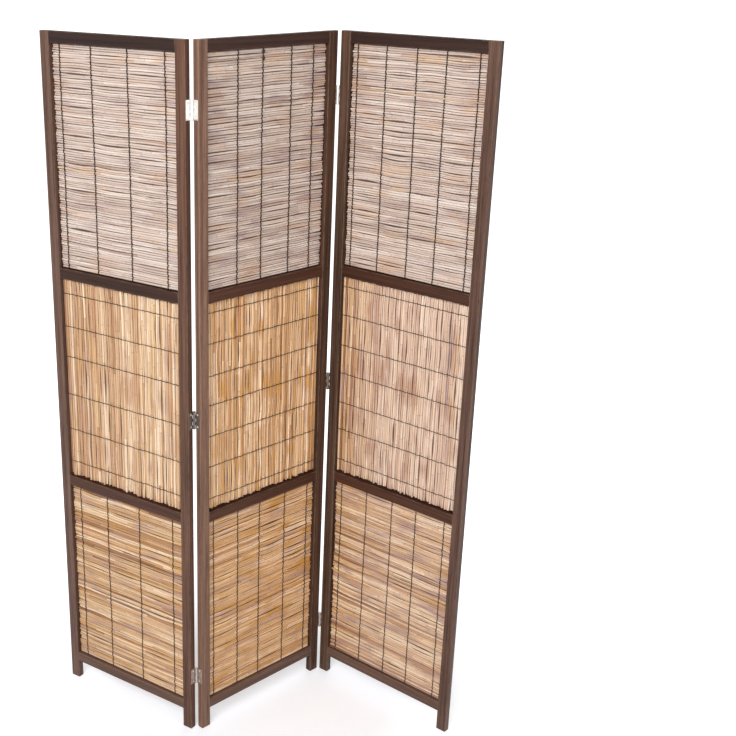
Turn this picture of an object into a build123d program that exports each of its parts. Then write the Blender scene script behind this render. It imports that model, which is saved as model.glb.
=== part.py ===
from build123d import *
import os

# A three-panel folding screen of woven reed. Millimetres, +Z up, standing on Z = 0.
# Each panel is an open wooden frame with two stiles and four rails. A reed mat stands in each of
# its three openings. The panels stand in a zigzag, and butt hinges join them at their edges.
# Within a panel, "along" runs left to right over its width, and "back" runs from the front face
# to the back face.

# The whole screen
screen_height = 1800.0
panel_width = 436.0
frame_depth = 18.0
left_turn = -36.5
middle_turn = 40.0
right_turn = -44.0

# Frame members
stile_width = 28.0
rail_height = 28.0
rail_setback = 1.0
foot_height = 55.0
bottom_opening = 533.0
middle_opening = 551.0
stile_arris = 1.6
rail_arris = 1.2
stile_end_arris = 0.8

# Dowels in the frame joints, two to a rail end
dowel_radius = 3.0
dowel_depth = 15.0
dowel_spacing = 14.0
dowel_fit = 0.05
dowel_end_gap = 0.3

# Reed mats, and the twine that binds their reeds
reed_diameter = 6.0
reed_press = 0.2
reed_end_gap = 1.5
twine_thickness = 1.0
twine_width = 1.2
twine_slack = 0.02
seat_gap = 0.3

# Where each mat's rows of twine run, as shares of the opening from its left edge or its bottom
top_rows = {
    "left": (0.07, 0.33, 0.62, 0.91),
    "middle": (0.25, 0.45, 0.69, 0.88),
    "right": (0.05, 0.27, 0.50, 0.71, 0.94),
}
middle_rows = {
    "left": (0.08, 0.25, 0.43, 0.62, 0.77, 0.93),
    "middle": (0.06, 0.22, 0.37, 0.52, 0.66, 0.81, 0.95),
    "right": (0.07, 0.23, 0.37, 0.52, 0.66, 0.81, 0.95),
}
bottom_rows = {
    "left": (0.08, 0.33, 0.62, 0.91),
    "middle": (0.05, 0.27, 0.47, 0.71, 0.93),
    "right": (0.06, 0.28, 0.50, 0.70, 0.93),
}

# Thin strips glued behind each mat to hold it in its opening
strip_width = 9.0
strip_thickness = 2.2
strip_inset = 0.1
strip_gap = 0.18

# Butt hinges, three to a joint
hinge_gap = 8.0
pin_offset = 0.5
hinge_height = 45.0
hinge_bottom_inset = 164.0
hinge_top_inset = 152.0
knuckle_count = 5
knuckle_gap = 0.2
leaf_thickness = 1.2
leaf_tip_inset = 1.5
barrel_relief = 0.4
notch_clearance = 0.3
pin_fit = 0.05
pin_head_overhang = 0.9
pin_head_height = 1.2
pin_head_gap = 0.1

# Countersunk screws, two to a hinge leaf
screw_spacing = 32.0
screw_radius = 1.4
screw_head_seat = 0.05
screw_length = 12.0
screw_tip_length = 3.0
screw_tip_radius = 0.3
screw_fit = 0.05
screw_head_fit = 0.06
screw_hole_spare = 0.5
countersink_angle = 90
drive_slot_width = 0.7
drive_slot_length = 2.8
drive_slot_depth = 0.5

# Sizes that follow from the ones above
opening_width = panel_width - 2 * stile_width
rail_depth = frame_depth - 2 * rail_setback
rails_and_foot = foot_height + 4 * rail_height
top_opening = screen_height - rails_and_foot - bottom_opening - middle_opening
lower_rail_base = foot_height + rail_height + bottom_opening
upper_rail_base = lower_rail_base + rail_height + middle_opening
rail_bases = {
    "top_rail": screen_height - rail_height,
    "upper_rail": upper_rail_base,
    "lower_rail": lower_rail_base,
    "bottom_rail": foot_height,
}
bottom_base = foot_height + rail_height
middle_base = lower_rail_base + rail_height
top_base = upper_rail_base + rail_height
openings = (
    (bottom_base, bottom_opening),
    (middle_base, middle_opening),
    (top_base, top_opening),
)

strip_front = frame_depth - strip_inset - strip_thickness
mat_back = strip_front - strip_gap - twine_thickness - twine_slack
mat_centre = mat_back - reed_diameter / 2
edge_gap = seat_gap + twine_thickness + twine_slack

barrel_radius = hinge_gap / 2 - barrel_relief
bore_radius = barrel_radius - leaf_thickness
pin_radius = bore_radius - pin_fit
leaf_length = frame_depth + pin_offset - leaf_tip_inset
leaf_face = hinge_gap / 2 - leaf_thickness
knuckle_length = hinge_height / knuckle_count
hinge_heights = {
    "top": screen_height - hinge_top_inset,
    "middle": screen_height / 2,
    "bottom": hinge_bottom_inset,
}
screw_drops = (-screw_spacing / 2, screw_spacing / 2)
screw_head_height = leaf_thickness - screw_head_seat
screw_head_radius = screw_radius + screw_head_height

os.makedirs("parts", exist_ok=True)


def finish(piece, label):
    """Name a finished piece and write it to its own file."""
    piece.part.label = label
    export_step(piece.part, f"parts/{label}.step")


def turned(along, back, turn):
    """A point given along and back from a panel's corner, turned with the panel."""
    return Vector(along, back, 0).rotate(Axis.Z, turn)


# The panels meet on the hinge pins: behind their back faces at the left joint, and before their
# front faces at the right joint, so that the screen folds flat in a zigzag.
left_pin_of_left = (panel_width + hinge_gap / 2, frame_depth + pin_offset)
left_pin_of_middle = (-hinge_gap / 2, frame_depth + pin_offset)
right_pin_of_middle = (panel_width + hinge_gap / 2, -pin_offset)
right_pin_of_right = (-hinge_gap / 2, -pin_offset)

middle_corner = Vector(0, 0, 0)
left_corner = turned(*left_pin_of_middle, middle_turn) - turned(*left_pin_of_left, left_turn)
right_corner = turned(*right_pin_of_middle, middle_turn) - turned(*right_pin_of_right, right_turn)
placing = {
    "left": (left_corner, left_turn),
    "middle": (middle_corner, middle_turn),
    "right": (right_corner, right_turn),
}

# The origin is under the middle of the standing screen
footprint = [
    corner + turned(along, back, turn)
    for corner, turn in placing.values()
    for along in (0, panel_width)
    for back in (0, frame_depth)
]
centre_x = (min(p.X for p in footprint) + max(p.X for p in footprint)) / 2
centre_y = (min(p.Y for p in footprint) + max(p.Y for p in footprint)) / 2
panels = {
    name: Plane(
        origin=(corner.X - centre_x, corner.Y - centre_y, 0),
        x_dir=turned(1, 0, turn),
        z_dir=(0, 0, 1),
    )
    for name, (corner, turn) in placing.items()
}


def across(panel, along, back, height, way=1):
    """An upright plane across a panel, with x to its back. It looks along it, or against for -1."""
    middle = panel.from_local_coords((along, back, height))
    return Plane(origin=middle, x_dir=panel.y_dir, z_dir=panel.x_dir * way)


def dowel_heights(rail_base):
    """The heights of the two dowels at a rail's end."""
    middle = rail_base + rail_height / 2
    return (middle - dowel_spacing / 2, middle + dowel_spacing / 2)


def stile(label, panel, outer, inner, hinge_side):
    """An upright frame member, drilled for its dowels and, at a hinge, for its screws."""
    way = 1 if inner > outer else -1
    dowel_faces = [
        across(panel, inner, frame_depth / 2, height, way)
        for rail_base in rail_bases.values()
        for height in dowel_heights(rail_base)
    ]
    with BuildPart() as piece:
        with BuildSketch(panel):
            with Locations(((outer + inner) / 2, frame_depth / 2)):
                RectangleRounded(stile_width, frame_depth, stile_arris)
        extrude(amount=screen_height)
        fillet(piece.faces().sort_by(Axis.Z)[-1].edges(), stile_end_arris)
        chamfer(piece.faces().sort_by(Axis.Z)[0].edges(), stile_end_arris)
        with Locations(*dowel_faces):
            Hole(dowel_radius + dowel_fit, depth=dowel_depth + dowel_end_gap)
        if hinge_side:
            screw_faces = [
                across(panel, outer, frame_depth / 2, height + drop, -way)
                for height in hinge_heights.values()
                for drop in screw_drops
            ]
            with Locations(*screw_faces):
                Hole(screw_radius + screw_fit, depth=screw_length - leaf_thickness + screw_hole_spare)
    finish(piece, label)


def rail(label, panel, rail_base):
    """A crosspiece between the stiles, drilled for a pair of dowels at each end."""
    ends = [
        across(panel, along, frame_depth / 2, height, way)
        for along, way in ((stile_width, -1), (panel_width - stile_width, 1))
        for height in dowel_heights(rail_base)
    ]
    with BuildPart() as piece:
        with BuildSketch(across(panel, stile_width, frame_depth / 2, rail_base + rail_height / 2)):
            RectangleRounded(rail_depth, rail_height, rail_arris)
        extrude(amount=opening_width)
        with Locations(*ends):
            Hole(dowel_radius + dowel_fit, depth=dowel_depth + dowel_end_gap)
    finish(piece, label)


def frame_dowels(label, panel):
    """The dowels that pin every rail of a panel to its stiles."""
    places = [
        across(panel, along, frame_depth / 2, height)
        for rail_base in rail_bases.values()
        for along in (stile_width, panel_width - stile_width)
        for height in dowel_heights(rail_base)
    ]
    with BuildPart() as piece:
        with Locations(*places):
            Cylinder(dowel_radius, 2 * dowel_depth)
    finish(piece, label)


def reed_row(span):
    """How many reeds fill a span, each pressed into the next, and the pitch that fills it."""
    gaps = int((span - reed_diameter) / (reed_diameter - reed_press)) + 1
    return gaps + 1, (span - reed_diameter) / gaps


def level_mat(label, panel, base, opening):
    """A mat of level reeds: one scalloped sheet, ridged by its reeds on both faces."""
    count, pitch = reed_row(opening - 2 * edge_gap)
    start = stile_width + reed_end_gap
    with BuildPart() as piece:
        with BuildSketch(across(panel, start, mat_centre, base + opening / 2)):
            with GridLocations(1, pitch, 1, count):
                Circle(reed_diameter / 2)
        extrude(amount=opening_width - 2 * reed_end_gap)
    finish(piece, label)


def upright_mat(label, panel, base, opening):
    """A mat of upright reeds, made as the level ones are."""
    count, pitch = reed_row(opening_width - 2 * edge_gap)
    with BuildPart() as piece:
        with BuildSketch(panel.offset(base + reed_end_gap)):
            with Locations((panel_width / 2, mat_centre)):
                with GridLocations(pitch, 1, count, 1):
                    Circle(reed_diameter / 2)
        extrude(amount=opening - 2 * reed_end_gap)
    finish(piece, label)


def mat_twine(label, panel, name):
    """The twine in a panel's three mats: each row is one turn round the whole mat."""
    level_mats = (
        (top_base, top_opening, top_rows[name]),
        (bottom_base, bottom_opening, bottom_rows[name]),
    )
    bands = []
    for base, opening, rows in level_mats:
        for share in rows:
            along = stile_width + share * opening_width
            plane = across(panel, along, mat_centre, base + opening / 2)
            bands.append((plane, reed_diameter, opening - 2 * edge_gap))
    for share in middle_rows[name]:
        height = middle_base + share * middle_opening
        middle = panel.from_local_coords((panel_width / 2, mat_centre, height))
        plane = Plane(origin=middle, x_dir=panel.x_dir, z_dir=panel.z_dir)
        bands.append((plane, opening_width - 2 * edge_gap, reed_diameter))
    inside = 2 * twine_slack
    outside = inside + 2 * twine_thickness
    with BuildPart() as piece:
        for plane, wide, high in bands:
            with BuildSketch(plane):
                Rectangle(wide + outside, high + outside)
                Rectangle(wide + inside, high + inside, mode=Mode.SUBTRACT)
            extrude(amount=twine_width / 2, both=True)
    finish(piece, label)


def mat_strips(label, panel):
    """The strips behind a panel's mats: two uprights and two crosspieces to an opening."""
    back = strip_front + strip_thickness / 2
    half = strip_width / 2
    with BuildPart() as piece:
        for base, opening in openings:
            with BuildSketch(panel.offset(base)):
                with Locations((stile_width + half, back), (panel_width - stile_width - half, back)):
                    Rectangle(strip_width, strip_thickness)
            extrude(amount=opening)
    finish(piece, f"{label}_uprights")
    with BuildPart() as piece:
        for base, opening in openings:
            for height in (base + half, base + opening - half):
                with BuildSketch(across(panel, stile_width + strip_width, back, height)):
                    Rectangle(strip_thickness, strip_width)
                extrude(amount=opening_width - 2 * strip_width)
    finish(piece, f"{label}_crosspieces")


def hinge_plane(panel, pin, height, to_stile, to_tip):
    """A hinge leaf's plane on its pin: x runs to the stile, y runs to the leaf's tip."""
    middle = panel.from_local_coords((pin[0], pin[1], height))
    return Plane(
        origin=middle,
        x_dir=panel.x_dir * to_stile,
        z_dir=panel.z_dir * to_stile * to_tip,
    )


def knuckle_centres(first):
    """The centres of every other knuckle, up from the hinge's middle."""
    low = (knuckle_length - hinge_height) / 2
    return [low + index * knuckle_length for index in range(first, knuckle_count, 2)]


def screw_places(plane):
    """Where a leaf's screws go in: on its open face, looking out of the wood."""
    depth = frame_depth / 2 + pin_offset
    return [
        Plane(
            origin=plane.from_local_coords((leaf_face, depth, drop)),
            x_dir=plane.z_dir,
            z_dir=plane.x_dir * -1,
        )
        for drop in screw_drops
    ]


def hinge_leaf(label, plane, own, other):
    """A leaf on a stile's edge: its plate, its share of the barrel and two countersunk holes."""
    notch = barrel_radius + notch_clearance
    with BuildPart() as piece:
        with BuildSketch(plane):
            with Locations((leaf_face + leaf_thickness / 2, leaf_length / 2)):
                Rectangle(leaf_thickness, leaf_length)
        extrude(amount=hinge_height / 2, both=True)
        for centre in knuckle_centres(other):
            with BuildSketch(plane.offset(centre)):
                with Locations((hinge_gap / 2, 0)):
                    Rectangle(hinge_gap, 2 * notch)
            extrude(amount=(knuckle_length + knuckle_gap) / 2, both=True, mode=Mode.SUBTRACT)
        for centre in knuckle_centres(own):
            with BuildSketch(plane.offset(centre)):
                Circle(barrel_radius)
            extrude(amount=(knuckle_length - knuckle_gap) / 2, both=True)
        with BuildSketch(plane):
            Circle(bore_radius)
        extrude(amount=hinge_height, both=True, mode=Mode.SUBTRACT)
        with Locations(*screw_places(plane)):
            CounterSinkHole(
                radius=screw_radius + screw_fit,
                counter_sink_radius=screw_head_radius + screw_head_fit,
                depth=2 * leaf_thickness,
                counter_sink_angle=countersink_angle,
            )
    finish(piece, label)


def hinge_pin(label, plane):
    """The pin through a hinge's barrel, headed at both ends."""
    head_radius = pin_radius + pin_head_overhang
    head_base = hinge_height / 2 + pin_head_gap
    with BuildPart() as piece:
        with BuildSketch(plane):
            Circle(pin_radius)
        extrude(amount=head_base, both=True)
        for way in (1, -1):
            with BuildSketch(plane.offset(way * head_base)):
                Circle(head_radius)
            extrude(amount=way * pin_head_height)
        fillet(piece.faces().group_by(Axis.Z)[-1].edges(), pin_head_height / 2)
        fillet(piece.faces().group_by(Axis.Z)[0].edges(), pin_head_height / 2)
    finish(piece, label)


def hinge_screws(label, planes):
    """The countersunk screws of every hinge leaf on one panel."""
    places = [place for plane in planes for place in screw_places(plane)]
    top = (Align.CENTER, Align.CENTER, Align.MAX)
    straight = screw_length - screw_tip_length
    tips = [place.offset(-straight) for place in places]
    with BuildPart() as piece:
        with Locations(*places):
            Cylinder(screw_radius, straight, align=top)
            Cone(screw_radius, screw_head_radius, screw_head_height, align=top)
            Box(drive_slot_length, drive_slot_width, 2 * drive_slot_depth, mode=Mode.SUBTRACT)
            Box(drive_slot_width, drive_slot_length, 2 * drive_slot_depth, mode=Mode.SUBTRACT)
        with Locations(*tips):
            Cone(screw_tip_radius, screw_radius, screw_tip_length, align=top)
    finish(piece, label)


# Frames and mats
for name, panel in panels.items():
    hinged_left = name != "left"
    hinged_right = name != "right"
    stile(f"{name}_panel_left_stile", panel, 0, stile_width, hinged_left)
    stile(f"{name}_panel_right_stile", panel, panel_width, panel_width - stile_width, hinged_right)
    for rail_name, rail_base in rail_bases.items():
        rail(f"{name}_panel_{rail_name}", panel, rail_base)
    frame_dowels(f"{name}_panel_dowels", panel)
    level_mat(f"{name}_panel_top_mat", panel, top_base, top_opening)
    upright_mat(f"{name}_panel_middle_mat", panel, middle_base, middle_opening)
    level_mat(f"{name}_panel_bottom_mat", panel, bottom_base, bottom_opening)
    mat_twine(f"{name}_panel_twine", panel, name)
    mat_strips(f"{name}_panel_strip", panel)

# Hinges: each joint's leaves, with the panel, the pin's place, and the ways to stile and tip
joints = {
    "left": (
        ("outer", "left", left_pin_of_left, -1, -1),
        ("inner", "middle", left_pin_of_middle, 1, -1),
    ),
    "right": (
        ("outer", "right", right_pin_of_right, 1, 1),
        ("inner", "middle", right_pin_of_middle, -1, 1),
    ),
}
leaf_planes = {name: [] for name in panels}
for joint, leaves in joints.items():
    for height_name, height in hinge_heights.items():
        hinge = f"{joint}_joint_{height_name}_hinge"
        for leaf_name, panel_name, pin, to_stile, to_tip in leaves:
            plane = hinge_plane(panels[panel_name], pin, height, to_stile, to_tip)
            leaf_planes[panel_name].append(plane)
            own = 0 if leaf_name == "outer" else 1
            hinge_leaf(f"{hinge}_{leaf_name}_leaf", plane, own, 1 - own)
        hinge_pin(f"{hinge}_pin", plane)
for name, planes in leaf_planes.items():
    hinge_screws(f"{name}_panel_hinge_screws", planes)

mat_recess = mat_centre - reed_diameter / 2
corner = panels["middle"].origin
print(f"mats stand {mat_recess:.2f} mm behind the front faces")
print(f"openings {opening_width:.0f} mm wide and, going up:")
for base, opening in openings:
    print(f"  {opening:.0f} mm high, from {base:.0f} mm above the floor")
print(f"front left corner of the middle panel at {corner.X:.3f}, {corner.Y:.3f}")
for joint, (_, (_, panel_name, pin, _, _)) in joints.items():
    place = panels[panel_name].from_local_coords((pin[0], pin[1], 0))
    print(f"{joint} joint's pins at {place.X:.3f}, {place.Y:.3f}")
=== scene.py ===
# %% [markdown]
# # A reed folding screen
# The real screen is three wooden frames, hinged together in a zigzag, and each frame holds three
# mats of dried reeds bound with twine. The frames, hinges and screws come already modelled at
# their real size. They could be modelled again here, but their shapes are right, so they stay and
# only get their finishes. The mats and their twine come as plain sheets and bands, which hold the
# places of hundreds of separate reeds and knotted cords. Those are made here.

# %% Load the fixed frame
import math

import bpy
import numpy as np
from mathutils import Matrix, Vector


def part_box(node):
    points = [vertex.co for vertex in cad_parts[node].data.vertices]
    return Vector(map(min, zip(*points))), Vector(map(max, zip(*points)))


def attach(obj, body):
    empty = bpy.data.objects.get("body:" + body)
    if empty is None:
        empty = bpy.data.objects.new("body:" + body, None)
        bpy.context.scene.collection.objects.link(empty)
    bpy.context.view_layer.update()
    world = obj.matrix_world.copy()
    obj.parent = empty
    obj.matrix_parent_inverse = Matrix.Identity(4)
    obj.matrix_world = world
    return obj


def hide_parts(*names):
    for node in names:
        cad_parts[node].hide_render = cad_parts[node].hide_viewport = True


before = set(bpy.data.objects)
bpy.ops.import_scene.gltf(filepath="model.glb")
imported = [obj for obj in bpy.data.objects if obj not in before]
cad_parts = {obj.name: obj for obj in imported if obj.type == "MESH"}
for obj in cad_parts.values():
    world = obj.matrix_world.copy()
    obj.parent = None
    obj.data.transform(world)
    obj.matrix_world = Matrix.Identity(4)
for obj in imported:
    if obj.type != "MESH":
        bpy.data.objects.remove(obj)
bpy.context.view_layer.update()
PANELS = ("left", "middle", "right")

# %% [markdown]
# ## Where each panel stands
# Every piece of a panel runs along it, up it, or through its thickness, but the panel itself
# stands at an angle. It would be possible to work in the room's directions and turn each piece
# afterwards. It is simpler to measure each panel's own three directions once, from the middles of
# its two stiles, build in those directions, and turn the finished points with one product.

# %% Measure the panels


def points_of(node):
    """The vertices of a piece of the frame, one to a row, in metres."""
    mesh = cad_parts[node].data
    places = np.empty(3 * len(mesh.vertices), dtype=np.float32)
    mesh.vertices.foreach_get("co", places)
    return places.reshape(-1, 3).astype(float)


def middle_of(node):
    """The middle of a piece's box."""
    low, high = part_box(node)
    return (low + high) / 2


origins, axes, turns = {}, {}, {}
for panel in PANELS:
    left = middle_of(f"{panel}_panel_left_stile")
    right = middle_of(f"{panel}_panel_right_stile")
    along = (right - left).normalized()
    origins[panel] = np.array(((left.x + right.x) / 2, (left.y + right.y) / 2, 0))
    axes[panel] = np.array(((along.x, along.y, 0), (-along.y, along.x, 0), (0, 0, 1)))
    turns[panel] = math.atan2(along.y, along.x)
    print(f"the {panel} panel is turned by {math.degrees(turns[panel]):.1f} degrees")


def in_panel(panel, node):
    """A piece's vertices as distances along its panel, to its back, and up."""
    return (points_of(node) - origins[panel]) @ axes[panel].T


def extent(panel, node):
    """A piece's lowest and highest corners in its panel's directions."""
    local = in_panel(panel, node)
    return local.min(axis=0), local.max(axis=0)


# %% [markdown]
# ## The rows of twine
# Each mat is bound by a few rows of twine that run across its reeds. The rows could be listed
# here again, but the frame already has a plain band for each, so their places are measured on the
# bands: vertices that lie close together belong to one row, and a wide step starts the next.

# %% Measure the rows
BAND_REACH = 0.002
ROW_STEP = 0.005


def twine_rows(panel, mat):
    """Where the rows of twine cross a mat's reeds, counted along the reeds."""
    low, high = extent(panel, f"{panel}_panel_{mat}_mat")
    local = in_panel(panel, f"{panel}_panel_twine")
    above = local[:, 2] > low[2] - BAND_REACH
    below = local[:, 2] < high[2] + BAND_REACH
    run = 2 if mat == "middle" else 0
    places = np.sort(local[above & below, run])
    groups = np.split(places, np.nonzero(np.diff(places) > ROW_STEP)[0] + 1)
    return np.array([(group[0] + group[-1]) / 2 for group in groups])


for panel in PANELS:
    counts = [len(twine_rows(panel, mat)) for mat in ("top", "middle", "bottom")]
    print(f"rows of twine in the {panel} panel's mats: {counts}")

# %% [markdown]
# ## Rings and skins
# A reed and a cord are both long tubes. A curve with a bevel would give a tube in one step, but a
# reed changes its thickness, swells at its joints and is hollow at its cut ends, and its colour
# has to change from joint to joint. So each tube is a stack of rings of vertices with a skin of
# faces between them, and each ring carries its own values, such as a tone, for the material.

# %% Tools for tubes


def ring_faces(rings, sides, start):
    """The faces between the rings of one tube, then the two caps that close it."""
    step = np.arange(sides)
    ahead = np.roll(step, -1)
    base = start + sides * np.arange(rings - 1)[:, None]
    quads = np.stack((base + step, base + ahead, base + sides + ahead, base + sides + step), -1)
    first = (start + step[::-1]).tolist()
    last = (start + sides * (rings - 1) + step).tolist()
    return quads.reshape(-1, 4).tolist() + [first, last]


class Tubes:
    """Gathers tubes, with a value for each ring, and makes one mesh of them."""

    def __init__(self, sides):
        self.sides = sides
        self.points, self.faces, self.smooth = [], [], []
        self.tags = {}
        self.count = 0

    def add(self, points, flat_bands=0, **tags):
        """Add a tube from its rings' points. Flat bands at each end keep their corners sharp."""
        rings = len(points) // self.sides
        self.points.append(points)
        self.faces += ring_faces(rings, self.sides, self.count)
        bands = np.ones(rings - 1, dtype=bool)
        if flat_bands:
            bands[:flat_bands] = False
            bands[-flat_bands:] = False
        self.smooth += np.repeat(bands, self.sides).tolist() + [False, False]
        for tag, values in tags.items():
            self.tags.setdefault(tag, []).append(np.repeat(values, self.sides))
        self.count += len(points)

    def make(self, name):
        """Make the object, with every tag as a float attribute of its points."""
        mesh = bpy.data.meshes.new(name)
        mesh.from_pydata(np.concatenate(self.points), [], self.faces)
        mesh.polygons.foreach_set("use_smooth", self.smooth)
        for tag, parts in self.tags.items():
            layer = mesh.attributes.new(tag, "FLOAT", "POINT")
            layer.data.foreach_set("value", np.concatenate(parts).astype(np.float32))
        piece = bpy.data.objects.new(name, mesh)
        bpy.context.scene.collection.objects.link(piece)
        return piece


print("tubes are gathered as rings and skinned once")

# %% [markdown]
# ## How reeds lie in a mat
# The twine takes the reeds two by two, so the two reeds of a pair are pressed together, and the
# twine leaves a gap before the next pair. The gap is a lens: closed at each row of twine and open
# between them, where the reeds bow. Copies of one reed at an even pitch would look like corrugated
# card. Here each reed has its own thickness and taper, each gap its own opening in each stretch,
# and the reeds are stacked up at every station along them, so the slow waves of a real mat come
# by themselves. Most of the wave that neighbours share is taken out again, because in these mats
# it is slight. Thin stems lie in the gaps and close them, and their dark brown is painted shade:
# the shade that falls into the gaps between the pairs.

# %% Lay out the reeds
MATS = {
    "top": {
        "radii": (0.0021, 0.0030), "pinch": 0.0001, "spread": 0.0041, "inner": 0.0015, "tones": 0.13,
    },
    "middle": {
        "radii": (0.0020, 0.0036), "pinch": 0.0001, "spread": 0.0046, "inner": 0.0024, "tones": 0.2,
    },
    "bottom": {
        "radii": (0.0021, 0.0032), "pinch": 0.0002, "spread": 0.0046, "inner": 0.0016, "tones": 0.23,
    },
}
TAPER = 0.14
PRESS = 0.98
MEAN_OPENING = 0.2
STATION_STEP = 0.008
FULL_STRETCH = 0.09
FORWARD_BOW = 0.0003
SETBACKS = (0.0001, 0.0007)
NEIGHBOURS = 9
WAVE_LEFT = 0.3
OWN_BOW = 0.0004
OWN_SLANT = 0.0003


def draw_radii(dice, span, mat):
    """Radii of an even number of reeds that fill a span with their gaps."""
    radii = []
    gaps = mat["pinch"] + MEAN_OPENING * (mat["spread"] + mat["inner"])
    while 2 * PRESS * sum(radii) + gaps * len(radii) / 2 < span or len(radii) % 2:
        radii.append(dice.uniform(*mat["radii"]))
    return np.array(radii)


def bows(stations, rows, reach):
    """Curves that are nothing at the rows of twine and swell between them."""
    before = -reach - rows[0]
    beyond = reach - rows[-1]
    stops = [before, *rows, beyond]
    curves = []
    for low, high in zip(stops, stops[1:]):
        share = (stations - low) / (high - low)
        swell = min((high - low) / FULL_STRETCH, 1.0)
        curves.append(np.where((share >= 0) & (share <= 1), swell * np.sin(np.pi * share), 0))
    return np.array(curves)


def calm_waves(centres):
    """Take out most of the bow that neighbouring reeds share, and keep each one's own."""
    own = centres - centres.mean(axis=1, keepdims=True)
    window = np.ones(NEIGHBOURS) / NEIGHBOURS
    shared = np.array([np.convolve(column, window, mode="same") for column in own.T]).T
    return centres - (1 - WAVE_LEFT) * shared


def lay_reeds(dice, span, reach, rows, mat):
    """Centres, setbacks and radii of a mat's reeds at stations along them, and of their gaps."""
    radii = draw_radii(dice, span, mat)
    count = len(radii)
    stations = np.linspace(-reach / 2, reach / 2, round(reach / STATION_STEP) + 1)
    taper = dice.uniform(-TAPER, TAPER, (count, 1))
    thick = radii[:, None] * (1 + taper * stations / (reach / 2))
    curves = bows(stations, rows, reach)
    within = np.arange(count - 1)[:, None] % 2 == 0
    spread = np.where(within, mat["inner"], mat["spread"])
    openings = spread * dice.random((count - 1, len(curves))) ** 2
    gaps = np.where(within, 0, mat["pinch"]) + openings @ curves
    steps = PRESS * (thick[:-1] + thick[1:]) + gaps
    centres = thick[0] + np.concatenate((np.zeros((1, len(stations))), np.cumsum(steps, axis=0)))
    centres *= (span - thick[0] - thick[-1]) / (centres[-1] - centres[0])
    centres = calm_waves(centres + thick[0] - centres[0])
    centres += dice.normal(0, OWN_BOW, (count, len(curves))) @ curves
    holds = (-reach / 2, *rows, reach / 2)
    slants = dice.normal(0, OWN_SLANT, (count, len(holds)))
    centres += np.array([np.interp(stations, holds, slant) for slant in slants])
    centres = np.clip(centres, thick, span - thick)
    lift = np.abs(dice.normal(0, FORWARD_BOW, (count, len(curves)))) @ curves
    setback = thick + lift + dice.uniform(*SETBACKS, (count, 1))
    return {"stations": stations, "centres": centres, "setback": setback, "thick": thick}


sample = lay_reeds(np.random.default_rng(1), 0.53, 0.38, np.array((-0.1, 0.0, 0.1)), MATS["top"])
print(f"a mat 530 mm high takes {len(sample['thick'])} reeds")

# %% [markdown]
# ## One reed
# A reed is a hollow stalk with a joint every hand's breadth. At a joint it swells into a thin
# ring, and the skin on one side of it is often of another colour, where a leaf had wrapped it.
# The cut ends show the hollow. The joints could be painted on, but their rings catch the light
# along the edge of the mat, so they are modelled, and their places also switch the tone.

# %% Build a reed from rings
REED_SIDES = 10
REED_STEP = 0.018
JOINT_SPACING = (0.11, 0.21)
FIRST_JOINT = (0.1, 1.0)
JOINT_RINGS = ((-0.0024, 1.0, 0.0), (-0.0005, 1.09, 1.0), (0.0008, 1.05, 0.6), (0.0028, 1.0, 0.0))
JOINT_CLEARANCE = 0.0045
LAST_JOINT = 0.01
BORE = 0.58
BORE_DEPTH = 0.004
# The third value of each MOUTH ring is how far it takes the brown of the hollow end, painted shade
# inside the hollow.
MOUTH = ((BORE_DEPTH, BORE, 1.0), (0.0, BORE, 1.0), (0.0, 0.96, 0.7), (0.0004, 1.0, 0.0))
TONE_MIDDLE = 0.5
TONE_STEP = 0.09


def reed_stations(dice, start, stop):
    """Stations along one reed, with the swelling, the ring mark and the stalk section at each."""
    spacing = dice.uniform(*JOINT_SPACING)
    joints = np.arange(start + dice.uniform(*FIRST_JOINT) * spacing, stop - LAST_JOINT, spacing)
    plain = np.arange(start + REED_STEP, stop - REED_STEP / 2, REED_STEP)
    rows = [(place, 1.0, 0.0) for place in plain if np.all(np.abs(joints - place) > JOINT_CLEARANCE)]
    for joint in joints:
        rows += [(joint + offset, swell, mark) for offset, swell, mark in JOINT_RINGS]
    places, swells, marks = np.array(sorted(rows)).T
    return places, swells, marks, np.searchsorted(joints, places)


def add_tube(tubes, lay, places, centre, setback, radius, to_panel, **tags):
    """Add a tube that follows values given at a mat's stations."""
    stations = lay["stations"]
    thick = np.interp(places, stations, radius[0]) * radius[1]
    angles = np.arange(REED_SIDES) * 2 * np.pi / REED_SIDES
    run = np.repeat(places, REED_SIDES)
    across = np.interp(places, stations, centre)[:, None] + thick[:, None] * np.cos(angles)
    forward = np.interp(places, stations, setback)[:, None] + thick[:, None] * np.sin(angles)
    tubes.add(to_panel(run, across.ravel(), forward.ravel()), **tags)


def add_reed(tubes, dice, lay, index, cut, tone, to_panel):
    """Add one hollow reed, cut at both ends, to the tubes of its mat."""
    start, stop = cut
    places, swells, marks, sections = reed_stations(dice, start, stop)
    tones = np.clip(tone + dice.normal(0, TONE_STEP, sections.max() + 1), 0, 1)[sections]
    depths, narrows, hollow_shades = np.array(MOUTH).T
    rings = len(depths)
    places = np.concatenate((start + depths, places, (stop - depths)[::-1]))
    swells = np.concatenate((narrows, swells, narrows[::-1]))
    marks = np.pad(marks, rings)
    hollow_shades = np.concatenate((hollow_shades, np.zeros(len(places) - 2 * rings), hollow_shades[::-1]))
    tones = np.pad(tones, rings, mode="edge")
    add_tube(tubes, lay, places, lay["centres"][index], lay["setback"][index],
             (lay["thick"][index], swells), to_panel, flat_bands=rings - 1, reed_tone=tones,
             reed_joint=marks, reed_pith=hollow_shades, reed_husk=np.zeros(len(places)))


print(f"a reed has {REED_SIDES} sides and a joint every {JOINT_SPACING[0]} to {JOINT_SPACING[1]} m")

# %% Build the dark stems in the gaps, painted shade
SHADE_STEM_OVERLAP = 0.0003
SHADE_STEM_LEAST = 0.0005
SHADE_STEM_STEP = 0.016


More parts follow.
